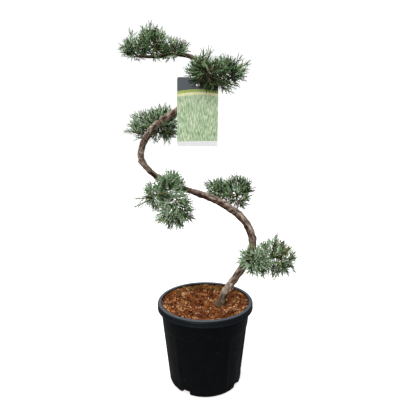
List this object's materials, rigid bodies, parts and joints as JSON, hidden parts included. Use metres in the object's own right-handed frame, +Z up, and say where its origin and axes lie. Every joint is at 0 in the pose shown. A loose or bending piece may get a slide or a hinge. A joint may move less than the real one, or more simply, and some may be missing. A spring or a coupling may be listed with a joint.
{
  "type": "spiral topiary",
  "caption": "Potted conifer with a bare stem trained into a spiral, loose pads of grey-green scale foliage along it, and a picture label tied to the upper bend.",
  "frame": {"origin": "middle of the pot's flat underside, on the ground", "axes": "+Z up; the front, which the label faces, is towards -Y; +X is to the right as seen from the front"},
  "size_m": [0.5298, 0.3427, 1.1058],
  "materials": {
    "pot": "moulded black polypropylene, satin",
    "soil": "moist bark mulch, rough",
    "bark": "fibrous grey-brown bark",
    "foliage": "matt grey-green scale foliage",
    "label": "printed plastic card, semi-gloss",
    "tie": "green plastic cord"
  },
  "bodies": {
    "root": {"pot": "pot", "soil": "soil", "trunk_foot": "bark", "trunk_lower_bend": "bark", "trunk_back": "bark", "trunk_left_bend": "bark", "trunk_front": "bark", "trunk_upper_bend": "bark", "trunk_leader": "bark", "bough_low_right_inner": "bark", "bough_low_right_outer": "bark", "bough_mid_right_inner": "bark", "bough_mid_right_outer": "bark", "bough_mid_left_upper": "bark", "bough_mid_left_lower": "bark", "bough_mid_left_outer": "bark", "bough_high_left_outer": "bark", "bough_high_left_inner": "bark", "bough_upper_right_inner": "bark", "bough_upper_right_outer": "bark", "bough_upper_right_front": "bark", "bough_top_right": "bark", "bough_top_middle": "bark", "bough_top_left": "bark", "foliage_low_right_inner": "foliage", "foliage_low_right_outer": "foliage", "foliage_mid_right_inner": "foliage", "foliage_mid_right_outer": "foliage", "foliage_mid_left_upper": "foliage", "foliage_mid_left_lower": "foliage", "foliage_mid_left_outer": "foliage", "foliage_high_left_outer": "foliage", "foliage_high_left_inner": "foliage", "foliage_upper_right_inner": "foliage", "foliage_upper_right_outer": "foliage", "foliage_upper_right_front": "foliage", "foliage_top_right": "foliage", "foliage_top_middle": "foliage", "foliage_top_left": "foliage", "label": "label", "label_tie": "tie"}
  },
  "joints": []
}
